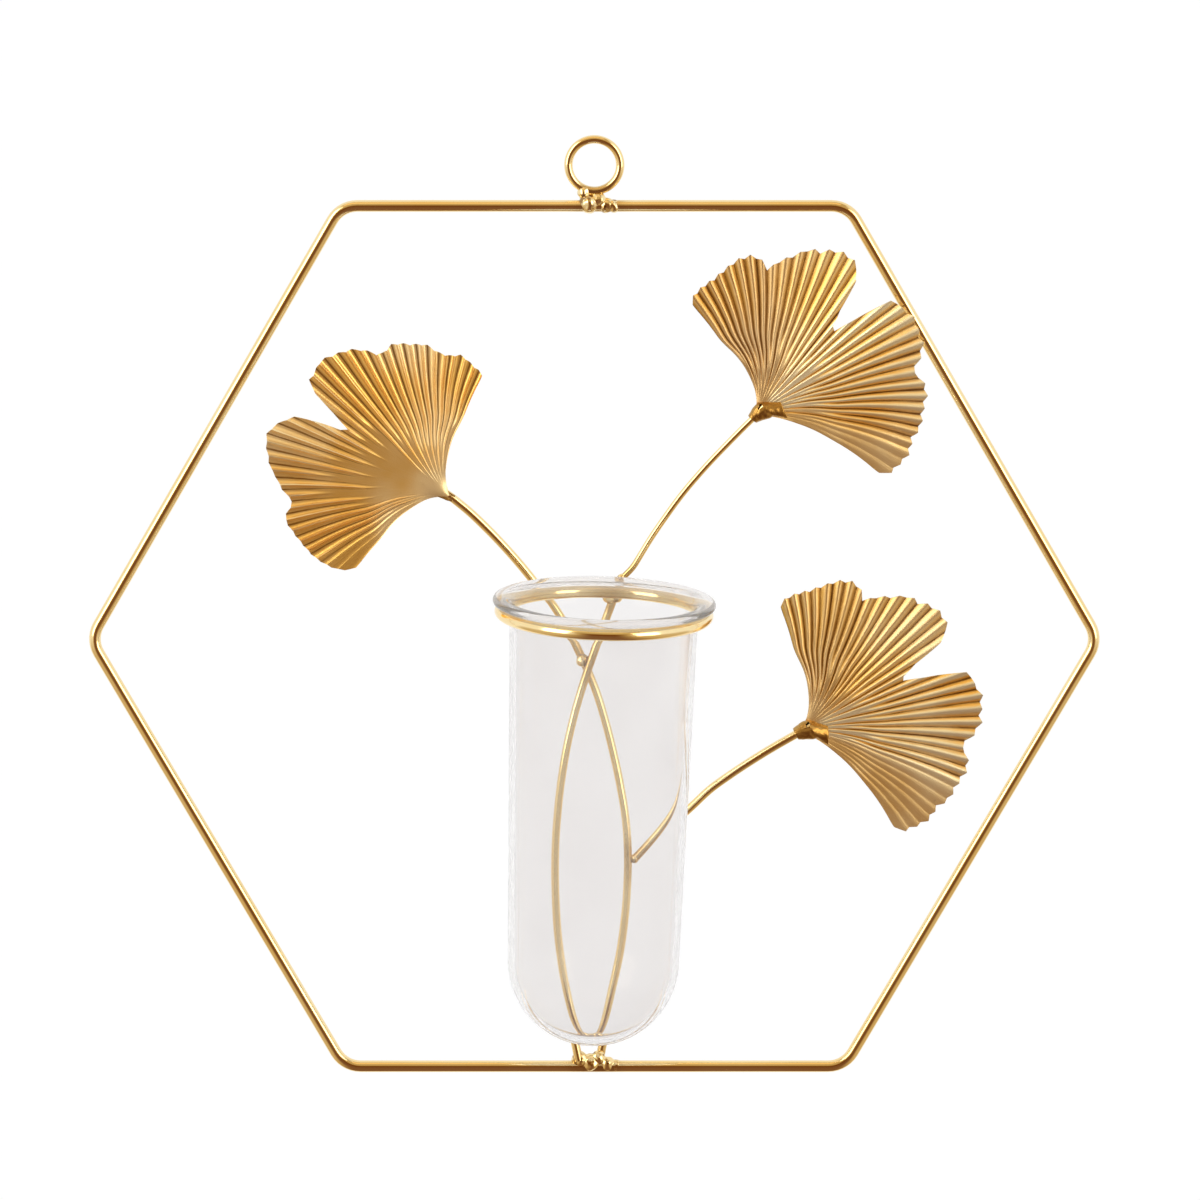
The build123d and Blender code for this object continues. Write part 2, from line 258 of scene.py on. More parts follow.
def studio_light(tree, way):
    """Colour of the light along a direction from the vase, for each kind of ray."""
    path = tree.nodes.new("ShaderNodeLightPath").outputs
    parts = add(tree, "ShaderNodeSeparateXYZ", {"Vector": way}).outputs
    beside = ranged(tree, maths(tree, "ABSOLUTE", parts["X"]), BESIDE_SPAN)
    beside = maths(tree, "MULTIPLY", beside, ranged(tree, parts["Z"], LOW_SPAN, LOW_LEVELS))
    overhead = ranged(tree, parts["Z"], OVERHEAD_SPAN, OVERHEAD_LEVELS)
    from_below = ranged(tree, parts["Z"], BELOW_SPAN, BELOW_SHIFTS)
    behind = ranged(tree, maths(tree, "ADD", parts["Y"], from_below), BEHIND_SPAN)
    level = maths(tree, "MAXIMUM", maths(tree, "MAXIMUM", beside, overhead), behind)
    room = add(tree, "ShaderNodeValToRGB", {"Fac": level})
    stops = room.color_ramp.elements
    stops.new(ROOM_TONES[1][0])
    for stop, (place, tone) in zip(stops, ROOM_TONES):
        stop.position = place
        stop.color = tone
    refracted = ranged(tree, parts["Y"], REFRACTED_SPAN, REFRACTED_LEVELS)
    seen = mixed(tree, path["Is Glossy Ray"], DIFFUSE_LIGHT, room.outputs["Color"])
    seen = mixed(tree, path["Is Transmission Ray"], seen, refracted)
    return mixed(tree, path["Is Camera Ray"], seen, WHITE)


def make_world():
    world = bpy.data.worlds.new("studio")
    bpy.context.scene.world = world
    world.use_nodes = True
    tree = world.node_tree
    tree.nodes.clear()
    output = tree.nodes.new("ShaderNodeOutputWorld")
    way = tree.nodes.new("ShaderNodeTexCoord").outputs["Generated"]
    shader = add(tree, "ShaderNodeBackground", {"Color": studio_light(tree, way), "Strength": 1.0})
    tree.links.new(shader.outputs[0], output.inputs["Surface"])


FLOOR_GREY = (0.82, 0.82, 0.82, 1)
FLOOR_GLOW = 1.08
FLOOR_GLOW_SHARE = 0.9


def make_floor():
    """Pale floor that shows the object's shadow and is white where nothing shades it."""
    material, tree, output = new_material("stage_floor")
    position = tree.nodes.new("ShaderNodeNewGeometry").outputs["Position"]
    away = vector_maths(tree, "SUBTRACT", position, tuple(CENTRE))["Vector"]
    way = add(tree, "ShaderNodeVectorMath", {0: away}, operation="NORMALIZE").outputs["Vector"]
    plain = add(tree, "ShaderNodeBsdfDiffuse", {"Color": FLOOR_GREY})
    glow = {"Color": studio_light(tree, way), "Strength": FLOOR_GLOW}
    white = add(tree, "ShaderNodeEmission", glow)
    layers = {0: FLOOR_GLOW_SHARE, 1: plain.outputs[0], 2: white.outputs[0]}
    shader = add(tree, "ShaderNodeMixShader", layers)
    tree.links.new(shader.outputs[0], output.inputs["Surface"])
    half = FLOOR_HALF
    corners = [(-half, -half), (half, -half), (half, half), (-half, half)]
    floor = mesh_object("floor", [(x, y, FLOOR_Z) for x, y in corners], [(0, 1, 2, 3)])
    floor.data.materials.append(material)


def soft_box(name, place, size, brightness, colour):
    data = bpy.data.lights.new(name, "AREA")
    data.shape = "RECTANGLE"
    data.size, data.size_y = size
    data.energy = math.pi * data.size * data.size_y * brightness
    data.color = colour
    lamp = bpy.data.objects.new(name, data)
    lamp.location = place
    lamp.rotation_euler = (CENTRE - Vector(place)).to_track_quat("-Z", "Y").to_euler()
    bpy.context.scene.collection.objects.link(lamp)


# Pieces

def mesh_object(name, points, faces):
    mesh = bpy.data.meshes.new(name)
    mesh.from_pydata(points, [], faces)
    mesh.update()
    obj = bpy.data.objects.new(name, mesh)
    bpy.context.scene.collection.objects.link(obj)
    return obj


def skinned(name, rough, voxel, rounds):
    """A closed, softened skin over an object's solids; the object itself is removed."""
    skin = rough.modifiers.new("skin", "REMESH")
    skin.mode = "VOXEL"
    skin.voxel_size = voxel * MM
    soften = rough.modifiers.new("soften", "SMOOTH")
    soften.factor = SOFTENING
    soften.iterations = rounds
    made = bpy.data.meshes.new_from_object(
        rough.evaluated_get(bpy.context.evaluated_depsgraph_get())
    )
    bpy.data.objects.remove(rough)
    obj = bpy.data.objects.new(name, made)
    bpy.context.scene.collection.objects.link(obj)
    return obj


def dented(obj, dents, offset):
    """Points pushed along their normals by noise; each dent is (scale, millimetres)."""
    normals = [vertex.normal.copy() for vertex in obj.data.vertices]
    for vertex, normal in zip(obj.data.vertices, normals):
        push = sum(noise.noise(vertex.co * scale + offset) * size for scale, size in dents)
        vertex.co += normal * (push * MM)


def finish_piece(obj, material, body, replaced):
    obj.data.materials.clear()
    obj.data.materials.append(material)
    for face in obj.data.polygons:
        face.use_smooth = True
    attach(obj, body)
    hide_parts(replaced)


# Gold: each set of tones is dark, middle and light, and each shine is the roughness from and to

WIRE_TONES = ((0.42, 0.22, 0.045, 1), (0.92, 0.70, 0.34, 1), (0.97, 0.82, 0.50, 1))
BEAD_TONES = ((0.26, 0.12, 0.022, 1), (0.90, 0.68, 0.33, 1), (0.98, 0.86, 0.56, 1))
# The leaf's dark tone also paints shade in the valleys, and its light tone highlights on the
# crests
LEAF_TONES = ((0.20, 0.075, 0.006, 1), (0.97, 0.62, 0.17, 1), (1.0, 0.94, 0.72, 1))
# The socket's tones, darker than the leaf's, are painted shade on the sleeve
SHADED_SOCKET_TONES = ((0.16, 0.07, 0.012, 1), (0.42, 0.23, 0.055, 1), (0.62, 0.40, 0.14, 1))
WIRE_SHINE = (0.09, 0.14)
BEAD_SHINE = (0.10, 0.20)
LEAF_SHINE = (0.36, 0.44)
SOCKET_SHINE = (0.28, 0.40)

# Strength of each gold's grain, and the depths in metres of its slow and its fine part
WIRE_GRAIN = 0.014
BEAD_GRAIN = 0.08
LEAF_GRAIN = 0.07
SOCKET_GRAIN = 0.35
SLOW_GRAIN_DEPTH = 0.0003
FINE_GRAIN_DEPTH = 0.00003

# Browning round the welds: the span from a weld's centre, in metres, and the share at its ends
NEAR_WELD_SPAN = (0.003, 0.011)
NEAR_WELD_SHARES = (0.55, 0.0)
NEAR_WELD_ROUGHNESS = 0.15

WELDS = {
    "eye": Vector((1.5, 0, MIDDLE_Z + APOTHEM + 0.8)),
    "foot": Vector((0, 0, MIDDLE_Z - APOTHEM + 0.6)),
    "crossing": Vector((-3.75, 0, -148.354)),
    "ring": Vector((5.7, -3.9, -129.0)),
    "upper": Vector((8.25, -1.45, -123.454)),
    "lower": Vector((12.75, 1.45, -208.654)),
}


def satin(tree, place, tones, shine):
    """Cloudy satin plating with a few tarnished spots: colour and roughness."""
    dark, middle, light = tones
    clouds = noisy(tree, place, scale=34.0, detail=3.0, roughness=0.5)
    spots = noisy(tree, place, scale=300.0, detail=3.0, roughness=0.6, distortion=0.4)
    colour = mixed(tree, ranged(tree, clouds, (0.34, 0.70), (0.0, 0.55)), middle, light)
    colour = mixed(tree, ranged(tree, spots, (0.66, 0.84), (0.0, 0.30)), colour, dark)
    return colour, ranged(tree, clouds, (0.3, 0.7), shine)


def grained(tree, place, strength, normal=None):
    """Fine grain of the plating, over slow unevenness."""
    slow = noisy(tree, place, scale=240.0, detail=3.0, roughness=0.55, distortion=0.8)
    fine = noisy(tree, place, scale=1700.0, detail=2.0, roughness=0.6)
    normal = bumped(tree, slow, strength, SLOW_GRAIN_DEPTH, normal)
    return bumped(tree, fine, strength, FINE_GRAIN_DEPTH, normal)


def weld_darkening(tree, place):
    """How browned the plating is, by its distance from the nearest weld."""
    nearest = None
    for centre in WELDS.values():
        gap = vector_maths(tree, "DISTANCE", place, tuple(centre * MM))["Value"]
        nearest = gap if nearest is None else maths(tree, "MINIMUM", nearest, gap)
    clouds = noisy(tree, place, scale=210.0, detail=3.0, roughness=0.6)
    patches = ranged(tree, clouds, (0.3, 0.6), (0.4, 1.0))
    return maths(tree, "MULTIPLY", ranged(tree, nearest, NEAR_WELD_SPAN, NEAR_WELD_SHARES), patches)


def metal(tree, output, colour, roughness, normal, metallic=1.0):
    inputs = {"Base Color": colour, "Metallic": metallic, "Roughness": roughness, "Normal": normal}
    shader = add(tree, "ShaderNodeBsdfPrincipled", inputs)
    tree.links.new(shader.outputs[0], output.inputs["Surface"])


def wire_gold():
    """Bright plating, browned round the welds."""
    material, tree, output = new_material("satin_gold_wire")
    place = object_place(tree)
    colour, roughness = satin(tree, place, WIRE_TONES, WIRE_SHINE)
    near_weld = weld_darkening(tree, place)
    colour = mixed(tree, near_weld, colour, WIRE_TONES[0])
    roughness = maths(tree, "ADD", roughness, maths(tree, "MULTIPLY", near_weld, NEAR_WELD_ROUGHNESS))
    metal(tree, output, colour, roughness, grained(tree, place, WIRE_GRAIN))
    return material


def bead_gold():
    """Plated weld metal with dark patches laid by noise, painted shade standing for its dark pits.
    """
    material, tree, output = new_material("gold_weld_bead")
    place = object_place(tree)
    colour, roughness = satin(tree, place, BEAD_TONES, BEAD_SHINE)
    # Dark patches of painted shade standing for the bead's pits, laid by noise
    scale = noisy(tree, place, scale=330.0, detail=2.0, roughness=0.5, distortion=0.6)
    colour = mixed(tree, ranged(tree, scale, (0.52, 0.64), (0.0, 0.85)), colour, BEAD_TONES[0])
    metal(tree, output, colour, roughness, grained(tree, place, BEAD_GRAIN))
    return material


# Leaf gold: spans of the place across the sheet, of the place out from its neck or of the crest
# level with its streaks, each from 0 to 1, with the shares that they give. They paint a highlight
# on the crests of one lobe, and shade on the other lobe and in the valleys.

# Colour of the painted shade on one lobe
LEAF_LOBE_SHADE = (0.40, 0.18, 0.02, 1)
LEAF_METALLIC = 0.88
STREAK_SCALES = (360.0, 7.0, 1.0)
STREAK_START = (0.04, 0.24)
STREAK_MIDDLE = 0.5
STREAK_SPAN, STREAK_CREST_SHIFT = (0.3, 0.7), (-0.10, 0.10)
STREAK_DEPTH = 0.00012
STREAK_STRENGTH = 0.30
# Painted highlight: the lobe whose crests are painted pale, and how pale they are painted
HIGHLIT_FROM, HIGHLIT_FROM_SHARES = (0.12, 0.22), (0.25, 1.0)
HIGHLIT_TO, HIGHLIT_TO_SHARES = (0.44, 0.62), (1.0, 0.2)
CREST_HIGHLIGHT_SPAN, CREST_HIGHLIGHT_SHARES = (0.50, 0.95), (0.0, 0.95)
# Painted shade: how dark the valleys are painted
VALLEY_SHADE_SPAN, VALLEY_SHADE_SHARES = (0.04, 0.48), (0.92, 0.0)
VALLEY_ROUGHNESS = 0.12


def leaf_gold():
    """Painted highlight on the crests of one lobe, painted shade on the other lobe and in the
    valleys.
    """
    material, tree, output = new_material("pleated_gold_leaf")
    place = object_place(tree)
    dark, _, light = LEAF_TONES
    colour, roughness = satin(tree, place, LEAF_TONES, LEAF_SHINE)
    crest = add(tree, "ShaderNodeAttribute", attribute_name="crest").outputs["Fac"]
    lobe_shade = add(tree, "ShaderNodeAttribute", attribute_name="shaded_lobe").outputs["Fac"]
    lines = tree.nodes.new("ShaderNodeUVMap").outputs["UV"]
    across, out, _ = add(tree, "ShaderNodeSeparateXYZ", {"Vector": lines}).outputs
    stretched = vector_maths(tree, "MULTIPLY", lines, STREAK_SCALES)["Vector"]
    streaks = noisy(tree, stretched, scale=1.0, detail=3.0, roughness=0.6)
    streaks = blended(tree, ranged(tree, out, STREAK_START), STREAK_MIDDLE, streaks)
    crest_and_streaks = maths(tree, "ADD", crest, ranged(tree, streaks, STREAK_SPAN, STREAK_CREST_SHIFT))
    # Painted highlight, pale on the crests of one lobe
    highlit_from = ranged(tree, across, HIGHLIT_FROM, HIGHLIT_FROM_SHARES)
    highlit_to = ranged(tree, across, HIGHLIT_TO, HIGHLIT_TO_SHARES)
    highlit_lobe = maths(tree, "MULTIPLY", highlit_from, highlit_to)
    crest_highlight = maths(tree, "MULTIPLY", ranged(tree, crest_and_streaks, CREST_HIGHLIGHT_SPAN, CREST_HIGHLIGHT_SHARES), highlit_lobe)
    # Painted shade, dark in the valleys
    valley = ranged(tree, crest_and_streaks, VALLEY_SHADE_SPAN, VALLEY_SHADE_SHARES)
    # Painted shade on one lobe, then the crests' painted highlight and the valleys' painted shade
    colour = mixed(tree, lobe_shade, colour, LEAF_LOBE_SHADE)
    colour = mixed(tree, crest_highlight, colour, light)
    colour = mixed(tree, valley, colour, dark)
    roughness = maths(tree, "ADD", roughness, maths(tree, "MULTIPLY", valley, VALLEY_ROUGHNESS))
    normal = grained(tree, place, LEAF_GRAIN, bumped(tree, streaks, STREAK_STRENGTH, STREAK_DEPTH))
    metal(tree, output, colour, roughness, normal, LEAF_METALLIC)
    return material


def socket_gold():
    """Dull folded metal, its dark tones painted shade on the sleeve."""
    material, tree, output = new_material("shaded_folded_gold_socket")
    place = object_place(tree)
    colour, roughness = satin(tree, place, SHADED_SOCKET_TONES, SOCKET_SHINE)
    metal(tree, output, colour, roughness, grained(tree, place, SOCKET_GRAIN))
    return material


# Glass: its heights are in metres along the hoop's axis

GLASS_TINTS = ((0.925, 0.912, 0.912, 1), (0.95, 0.94, 0.94, 1))
GLASS_IOR = 1.22
LIP_TINT = (0.98, 0.97, 0.98, 1)
LIP_SPAN = (0.0005, 0.0032)
CLEARNESS = (0.95, 0.74)
HAZE_ROUGHNESS = (0.0, 0.03)
GLASS_WAVE_STRENGTH = 0.01
GLASS_WAVE_DEPTH = 0.0006


def clear_glass():
    """Blown glass: hardly grey, slightly hazy and waved, and milkier in its lip."""
    material, tree, output = new_material("clear_glass")
    place = object_place(tree)
    waves = noisy(tree, place, scale=30.0, detail=2.0, roughness=0.4, distortion=0.3)
    haze = noisy(tree, place, scale=120.0, detail=4.0, roughness=0.6)
    tint = mixed(tree, ranged(tree, waves, (0.35, 0.65)), *GLASS_TINTS)
    axis = HOOP_PLACE.to_3x3().col[2]
    height = vector_maths(tree, "DOT_PRODUCT", place, tuple(axis))["Value"]
    height = maths(tree, "SUBTRACT", height, axis.dot(HOOP_PLACE.translation))
    inputs = {
        "Base Color": mixed(tree, ranged(tree, height, LIP_SPAN), tint, LIP_TINT),
        "Roughness": ranged(tree, haze, (0.45, 0.75), HAZE_ROUGHNESS),
        "IOR": GLASS_IOR,
        "Transmission Weight": ranged(tree, height, LIP_SPAN, CLEARNESS),
        "Normal": bumped(tree, waves, GLASS_WAVE_STRENGTH, GLASS_WAVE_DEPTH),
    }
    shader = add(tree, "ShaderNodeBsdfPrincipled", inputs)
    tree.links.new(shader.outputs[0], output.inputs["Surface"])
    return material


# Weld beads: lumps run together over the wires, skinned and pitted

# Lumps across, up and in radius, as shares of their bead's size
EYE_LUMPS = (
    (-0.95, 1.25, 0.58), (-0.72, 0.75, 0.55), (-0.45, 0.2, 0.92),
    (0.32, 0.55, 0.74), (1.05, 0.05, 0.72), (1.8, 0, 0.62),
)
FOOT_LUMPS = (
    (-1.45, 0.72, 0.84), (-0.35, 0.4, 0.94), (0.4, 0.85, 0.76),
    (1.3, 0.25, 0.76), (2.15, 0.05, 0.64),
)
CROSSING_LUMPS = ((0, 0, 0.9),)
PETIOLE_LUMPS = ((0, 0, 0.92),)

EYE_SIZE = 3.3
FOOT_SIZE = 3.0
CROSSING_SIZE = 2.3
PETIOLE_SIZE = 1.6

# Lumps in the hoop's frame: place and radius
RING_LUMPS = ((3.6, 33.7, -1.5, 2.35), (1.6, 33.3, -2.0, 2.0), (5.2, 33.6, -1.0, 1.5))
BEAD_SEEDS = (3, 7, 11, 13, 17, 19)

# Smaller lumps beside each lump: how many, how far from its centre and how large, as shares of it
SPATTER_COUNT = 3
SPATTER_OFFSET = 0.5
SPATTER_RADII = (0.46, 0.58)


def spattered(lumps, chance):
    """The lumps, each (x, y, z, radius), with smaller ones run down round their sides."""
    more = list(lumps)
    for x, y, z, radius in lumps:
        for _ in range(SPATTER_COUNT):
            way = Vector((chance.uniform(-1, 1), chance.uniform(-1, 0.6), chance.uniform(-1, 1)))
            way = way.normalized() * radius * SPATTER_OFFSET
            size = radius * chance.uniform(*SPATTER_RADII)
            more.append((x + way.x, y + way.y, z + way.z, size))
    return more


def bead_piece(name, lumps, seed):
    build = bmesh.new()
    for x, y, z, radius in spattered(lumps, random.Random(seed)):
        place = Matrix.Translation(Vector((x, y, z)) * MM)
        bmesh.ops.create_icosphere(build, subdivisions=3, radius=radius * MM, matrix=place)
    mesh = bpy.data.meshes.new(name)
    build.to_mesh(mesh)
    build.free()
    rough = bpy.data.objects.new(name + "_lumps", mesh)
    bpy.context.scene.collection.objects.link(rough)
    obj = skinned(name, rough, *BEAD_SKIN)
    dented(obj, BEAD_DENTS, Vector((seed, 0, 0)))
    finish_piece(obj, BEAD, "holder", name.replace("_bead", "_weld"))


def lumps_at(centre, size, shares):
    return [
        (centre.x + across * size, centre.y, centre.z + up * size, radius * size)
        for across, up, radius in shares
    ]


def in_hoop(x, y, z, radius):
    point = HOOP_PLACE @ (Vector((x, y, z)) * MM) / MM
    return (point.x, point.y, point.z, radius)


def make_beads():
    top = Vector((0, 0, MIDDLE_Z + APOTHEM))
    foot = Vector((0, 0, MIDDLE_Z - APOTHEM))
    beads = {
        "eye_bead": lumps_at(top, EYE_SIZE, EYE_LUMPS),
        "foot_bead": lumps_at(foot, FOOT_SIZE, FOOT_LUMPS),
        "crossing_bead": lumps_at(WELDS["crossing"], CROSSING_SIZE, CROSSING_LUMPS),
        "ring_bead": [in_hoop(*lump) for lump in RING_LUMPS],
        "upper_petiole_bead": lumps_at(WELDS["upper"], PETIOLE_SIZE, PETIOLE_LUMPS),
        "lower_petiole_bead": lumps_at(WELDS["lower"], PETIOLE_SIZE, PETIOLE_LUMPS),
    }
    for (name, lumps), seed in zip(beads.items(), BEAD_SEEDS):
        bead_piece(name, lumps, seed)


# Glass tube: the solid's profile, turned finely, with its corners eased

def arc(centre, radius, start, end, count):
    angles = np.radians(np.linspace(start, end, count))
    return [(centre[0] + radius * math.cos(a), centre[1] + radius * math.sin(a)) for a in angles]


def straight(first, last, count):
    shares = np.linspace(0, 1, count)[:, None]
    return [tuple(point) for point in np.array(first) * (1 - shares) + np.array(last) * shares]


def glass_profile():
    """Radius and height, from the foot's outside over the lip to the foot's inside."""
    dome_z = DOME_RADIUS - GLASS_DROP
    inner_dome = DOME_RADIUS - GLASS_WALL
    inner_radius = TUBE_RADIUS - GLASS_WALL
    roll = HUG_RADIUS + LIP_THICKNESS
    lip = (HOOP_RADIUS + LIP_OVERHANG - LIP_SHY, HUG_RADIUS + LIP_THICKNESS / 2)
    outside = arc((0, dome_z), DOME_RADIUS, -90, 0, WALL_POINTS)
    outside += straight((DOME_RADIUS, dome_z), (TUBE_RADIUS, OUTER_EASE_START), WALL_POINTS)[1:]
    outside += [(TUBE_RADIUS + opened, z) for opened, z in OUTER_EASE]
    outside += arc((HOOP_RADIUS, 0), HUG_RADIUS, HUG_ANGLE, 90, HUG_POINTS)
    outside += arc(lip, LIP_THICKNESS / 2, -90, 90, LIP_POINTS)
    inside = arc((HOOP_RADIUS, 0), roll, 90, HUG_ANGLE, HUG_POINTS + 1)
    inside += [(inner_radius + opened, z) for opened, z in INNER_EASE]
    inside += straight((inner_radius, INNER_EASE_START), (inner_dome, dome_z), WALL_POINTS)
    inside += arc((0, dome_z), inner_dome, 0, -90, WALL_POINTS)[1:]
    return outside + inside


def turned(name, profile, around, place):
    """A surface of revolution round the Z of place; profile points on the axis close it."""
    points, rings, faces = [], [], []
    for radius, z in profile:
        steps = range(around) if radius > ON_AXIS else range(1)
        rings.append([len(points) + step for step in steps])
        for step in steps:
            angle = 2 * math.pi * step / around
            point = Vector((radius * math.cos(angle), radius * math.sin(angle), z))
            points.append(place @ (point * MM))
    for low, high in zip(rings, rings[1:]):
        for step in range(around):
            after = (step + 1) % around
            corners = [low[step % len(low)], low[after % len(low)]]
            corners += [high[after % len(high)], high[step % len(high)]]
            faces.append(tuple(dict.fromkeys(corners)))
    return mesh_object(name, points, faces)


# Leaves: the solids' own fold lines, with rounded crests and narrow valleys that fork and fade

def leaf_place(across_share, depth, up_share, heading, facing):
    """The leaf's own frame: its notch along X, the face with the stalk to Z."""
    along = Vector((math.cos(math.radians(heading)), 0, math.sin(math.radians(heading))))
    up = Vector((0, facing, 0))
    turn = Matrix((along, up.cross(along), up)).transposed().to_4x4()
    origin = Vector((across_share * SIDE, depth, MIDDLE_Z + up_share * SIDE))
    return Matrix.Translation(origin * MM) @ turn


def fold_lines(node, place):
    """Angle and radius of each of the solid's folds at each station, from neck to margin."""
    to_leaf = place.inverted() @ nodes[node].matrix_world
    points = np.array([(to_leaf @ vertex.co) / MM for vertex in nodes[node].data.vertices])
    radius = np.hypot(points[:, 0], points[:, 1])
    angle = np.degrees(np.arctan2(points[:, 1], points[:, 0]))
    stations = []
    for share in STATION_SHARES:
        here = np.sort(angle[np.abs(radius - share * REACH) < SAME_PLACE])
        folds = np.split(here, np.flatnonzero(np.diff(here) > SAME_FOLD) + 1)
        stations.append([(fold.mean(), share * REACH) for fold in folds])
    ends = np.linspace(angle.min(), angle.max(), len(stations[0]))
    stations.append([(end, radius[np.abs(angle - end) < SAME_PLACE].max()) for end in ends])
    return np.array(stations)


def eased(value, low, high):
    share = np.clip((value - low) / (high - low), 0, 1)
    return share * share * (3 - 2 * share)


def within(angle, zone, soft):
    """1 inside a zone of degrees, easing to 0 outside it."""
    first, last = zone
    return eased(angle, first - soft, first + soft) * (1 - eased(angle, last - soft, last + soft))


def sheet_layout(lines, evened):
    """Fold number, margin angle, radius and turned angle over a fine grid of the sheet."""
    last = lines.shape[1] - 1
    ends = lines[-1, :, 1]
    lines[-1, 1:-1, 1] += (ends[:-2] / 4 - ends[1:-1] / 2 + ends[2:] / 4) * evened
    fold = np.linspace(0, last, last * FOLD_COLUMNS + 1)
    angles = np.array([np.interp(fold, range(last + 1), station[:, 0]) for station in lines])
    radii = np.array([np.interp(fold, range(last + 1), station[:, 1]) for station in lines])
    out = NECK_RADIUS + (radii[-1] - NECK_RADIUS) * np.linspace(0, 1, LEAF_ROWS)[:, None]
    turned_by = np.zeros_like(out)
    for column in range(len(fold)):
        for nudge in BEND_NUDGES:
            shifted = out[:, column] + nudge
            turned_by[:, column] += np.interp(shifted, radii[:, column], angles[:, column])
    return fold, angles[-1], out, np.radians(turned_by / len(BEND_NUDGES))


def valley_cuts(fold, angle, out, chance, smooth_zone, short_zone, sharpness):
    """How deep the sheet is pressed, from 0 on a crest to 1 in a full valley, and the grooves
    along the backs of the crests."""
    folds = int(fold[-1])
    drift = [0] + [chance.uniform(-FOLD_DRIFT, FOLD_DRIFT) for _ in range(folds - 1)] + [0]
    place = fold + np.interp(fold, range(folds + 1), drift)
    to_valley = np.abs(place % 2 - 1)
    nearest = np.round(place / 2).astype(int)
    count = folds // 2 + 2
    depth = np.array([chance.uniform(*VALLEY_DEPTHS) for _ in range(count)])
    starts = [chance.uniform(*(SHORT_STARTS if k % 2 else LONG_STARTS)) for k in range(count)]
    delay = SHORT_ZONE_DELAY * within(angle, short_zone, SHORT_ZONE_EDGE)
    start = np.array(starts)[nearest] + delay
    opened = eased(out / REACH, start, start + VALLEY_RAMP)
    pressed = 1 - SMOOTH_ZONE_LOSS * within(angle, smooth_zone, SMOOTH_ZONE_EDGE)
    valley = (1 - np.cos(np.pi / 2 * to_valley)) ** sharpness
    groove = (1 - eased(to_valley, *GROOVE_SPAN)) * pressed * opened
    return valley * depth[nearest] * pressed * opened, groove


def sheet_faces(rows, columns):
    """Both faces of the sheet and its rim; the under side's points follow the upper side's."""
    under = rows * columns
    faces = []
    for row in range(rows - 1):
        for column in range(columns - 1):
            a = row * columns + column
            corners = (a, a + 1, a + columns + 1, a + columns)
            faces.append(corners)
            faces.append(tuple(corner + under for corner in corners[::-1]))
    for row, turn in ((0, 1), (rows - 1, -1)):
        for column in range(columns - 1):
            a = row * columns + column
            faces.append((a + 1, a, a + under, a + 1 + under)[::turn])
    for column, turn in ((0, 1), (columns - 1, -1)):
        for row in range(rows - 1):
            a = row * columns + column
            faces.append((a, a + columns, a + columns + under, a + under)[::turn])
    return faces


def name_points(mesh, values, uv):
    """Values by name on the mesh's points, and a UV map from its points' places."""
    for name, value in values.items():
        attribute = mesh.attributes.new(name, "FLOAT", "POINT")
        attribute.data.foreach_set("value", value.astype(np.float32))
    corners = np.zeros(len(mesh.loops), dtype=np.int32)
    mesh.loops.foreach_get("vertex_index", corners)
    layer = mesh.uv_layers.new(name="UVMap")
    layer.data.foreach_set("uv", uv[corners].astype(np.float32).reshape(-1))


def leaf_piece(node, place, seed, smooth_zone, short_zone, evened, sharpness, lobe_shading):
    """The solid's sheet again, finely pleated on both faces, with its painted highlights and shade
    named on its points.
    """
    fold, angle, out, turned_by = sheet_layout(fold_lines(node, place), evened)
    chance = random.Random(seed)
    cut, groove = valley_cuts(fold, angle, out, chance, smooth_zone, short_zone, sharpness)
    share = out / REACH
    sideways = angle / angle[-1]
    x, y = out * np.cos(turned_by), out * np.sin(turned_by)
    lift = (1 - 2 * cut) * RISE / 2 * share ** OPENING_POWER - CUP * (share * sideways) ** 2
    lift += NECK_LIFT * sideways ** 2 * (1 - eased(share, *NECK_SPAN))
    spots = np.stack([x, y], axis=-1).reshape(-1, 2) * LEAF_WAVE_SCALE
    waves = [noise.noise(Vector((*spot, seed))) for spot in spots]
    lift += LEAF_WAVE_HEIGHT * np.array(waves).reshape(share.shape) * share
    faces = [np.stack([x, y, lift + side * SHEET / 2], axis=-1) for side in (1, -1)]
    turn = np.array(place.to_3x3())
    points = (np.reshape(faces, (-1, 3)) * MM) @ turn.T + np.array(place.translation)
    obj = mesh_object("fluted_" + node, points.tolist(), sheet_faces(*out.shape))
    # Crest levels that paint highlights and valley shade; the under side's grooves get painted
    # shade
    under_crest = UNDER_FLAT_LEVEL + (1 - UNDER_FLAT_LEVEL) * cut ** 2 - GROOVE_SHADE * groove
    crest = np.concatenate([1 - cut, under_crest]).reshape(-1)
    # Painted shade on one lobe, growing toward its side
    shaded_lobe = lobe_shading * eased(np.tile(sideways, 2 * LEAF_ROWS), *SHADED_LOBE_SPAN)
    grid = np.meshgrid(fold / fold[-1], np.linspace(0, 1, LEAF_ROWS))
    uv = np.tile(np.stack(grid, axis=-1).reshape(-1, 2), (2, 1))
    name_points(obj.data, {"crest": crest, "shaded_lobe": shaded_lobe}, uv)
    finish_piece(obj, LEAF, "holder", node)
    obj.data.set_sharp_from_angle(angle=math.radians(CREASE_ANGLE))


# Sockets: the solids' sleeves, softened and crumpled

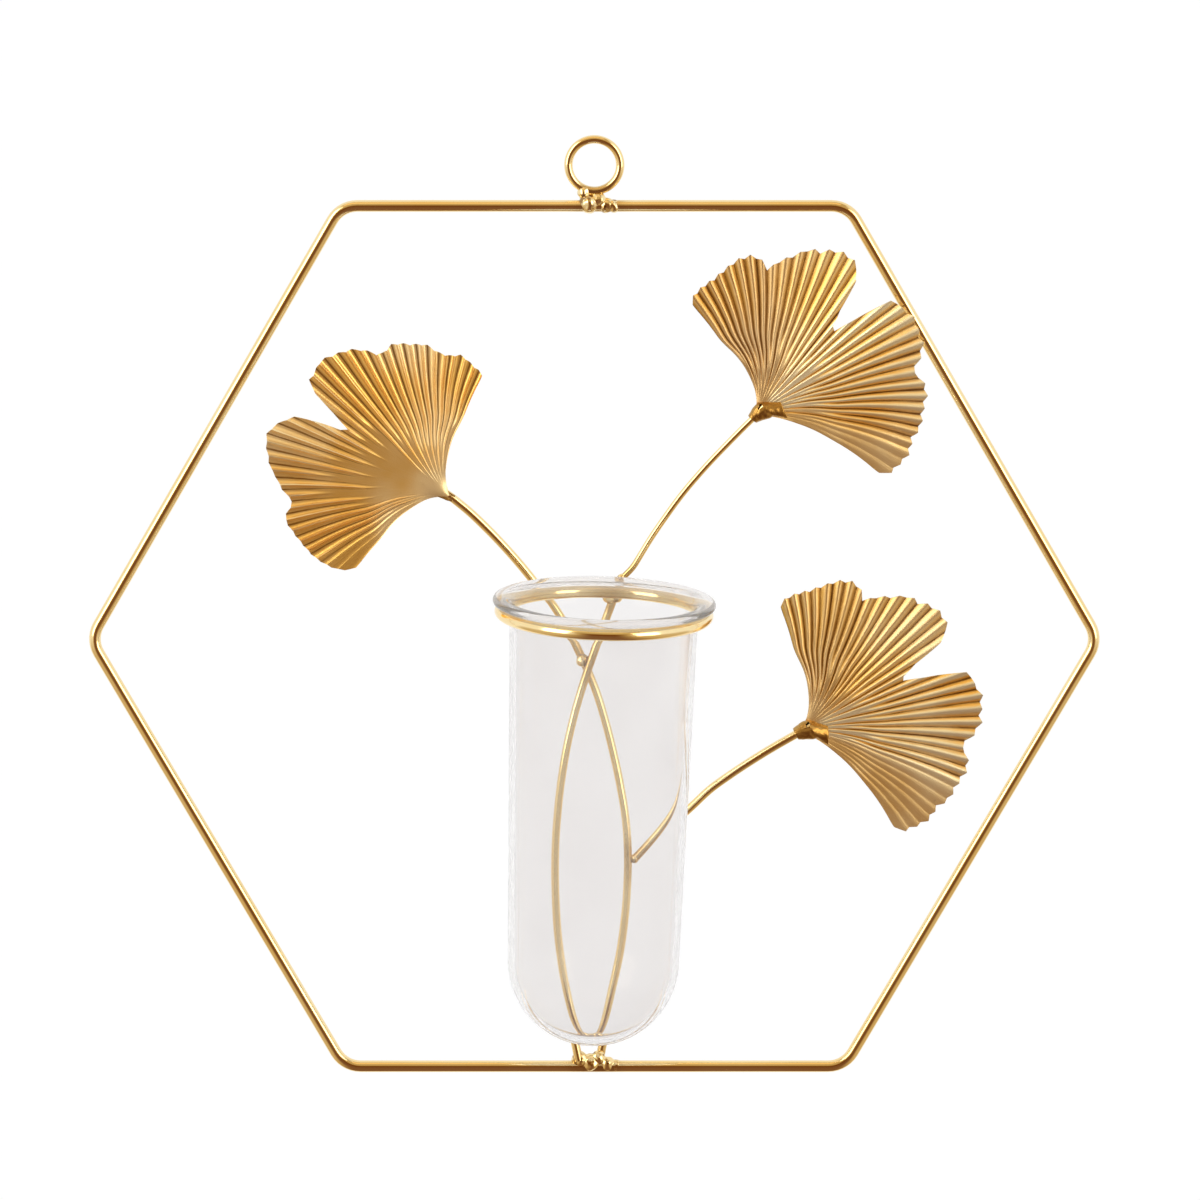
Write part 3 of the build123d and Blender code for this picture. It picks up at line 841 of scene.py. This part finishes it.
def socket_piece(node, place, widths, seed):
    """widths say how much wider than the solid the sleeve is at each of its stations."""
    source = bpy.data.objects.new(node + "_source", nodes[node].data.copy())
    bpy.context.scene.collection.objects.link(source)
    obj = skinned("folded_" + node, source, *SOCKET_SKIN)
    for vertex in obj.data.vertices:
        spot = place.inverted() @ vertex.co
        spot.y *= np.interp(spot.x / MM, SOCKET_STATIONS, widths)
        vertex.co = place @ spot
    dented(obj, SOCKET_DENTS, Vector((0, 0, seed)))
    finish_piece(obj, SOCKET, "holder", node)


make_camera()
make_world()
make_floor()
for lamp in LAMPS:
    soft_box(*lamp)

WIRE = wire_gold()
BEAD = bead_gold()
LEAF = leaf_gold()
SOCKET = socket_gold()
GLASS = clear_glass()

# Wires keep their solids
for node in ("hex_frame", "hanging_eye", "left_stem", "right_stem", "vase_ring",
             "upper_petiole", "lower_petiole"):
    nodes[node].data.materials.clear()
    nodes[node].data.materials.append(WIRE)

make_beads()
tube = turned("blown_glass_tube", glass_profile(), GLASS_AROUND, HOOP_PLACE)
finish_piece(tube, GLASS, "tube", "glass_tube")

# The zones are in degrees from the notch: a smooth zone is hardly pleated, and a short zone only
# far out. Evened is how far the margin's points are evened, and sharpness narrows the valleys.
# The last setting is how strongly one lobe is darkened as painted shade.
LEAVES = {
    "left_leaf": dict(
        place=leaf_place(-0.284, -1.75, 0.286, 147.4, 1), seed=5,
        smooth_zone=(-80, -60), short_zone=(-42, 12), evened=0.6, sharpness=2.0, lobe_shading=0.0,
    ),
    "upper_right_leaf": dict(
        place=leaf_place(0.316, -3.25, 0.450, 48.2, -1), seed=23,
        smooth_zone=(-80, -60), short_zone=NO_ZONE, evened=0.15, sharpness=0.9, lobe_shading=0.7,
    ),
    "lower_right_leaf": dict(
        place=leaf_place(0.406, 0.0, -0.187, 27.5, -1), seed=31,
        smooth_zone=(-80, -46), short_zone=NO_ZONE, evened=0.15, sharpness=0.9, lobe_shading=0.45,
    ),
}
SOCKET_WIDTHS = {
    "left_leaf": (0.5, 0.6, 0.7),
    "upper_right_leaf": (0.85, 1.35, 1.3),
    "lower_right_leaf": (0.8, 1.25, 1.25),
}
for node, settings in LEAVES.items():
    leaf_piece(node, **settings)
for seed, (leaf, widths) in enumerate(SOCKET_WIDTHS.items(), 1):
    socket_piece(leaf + "_socket", LEAVES[leaf]["place"], widths, seed)
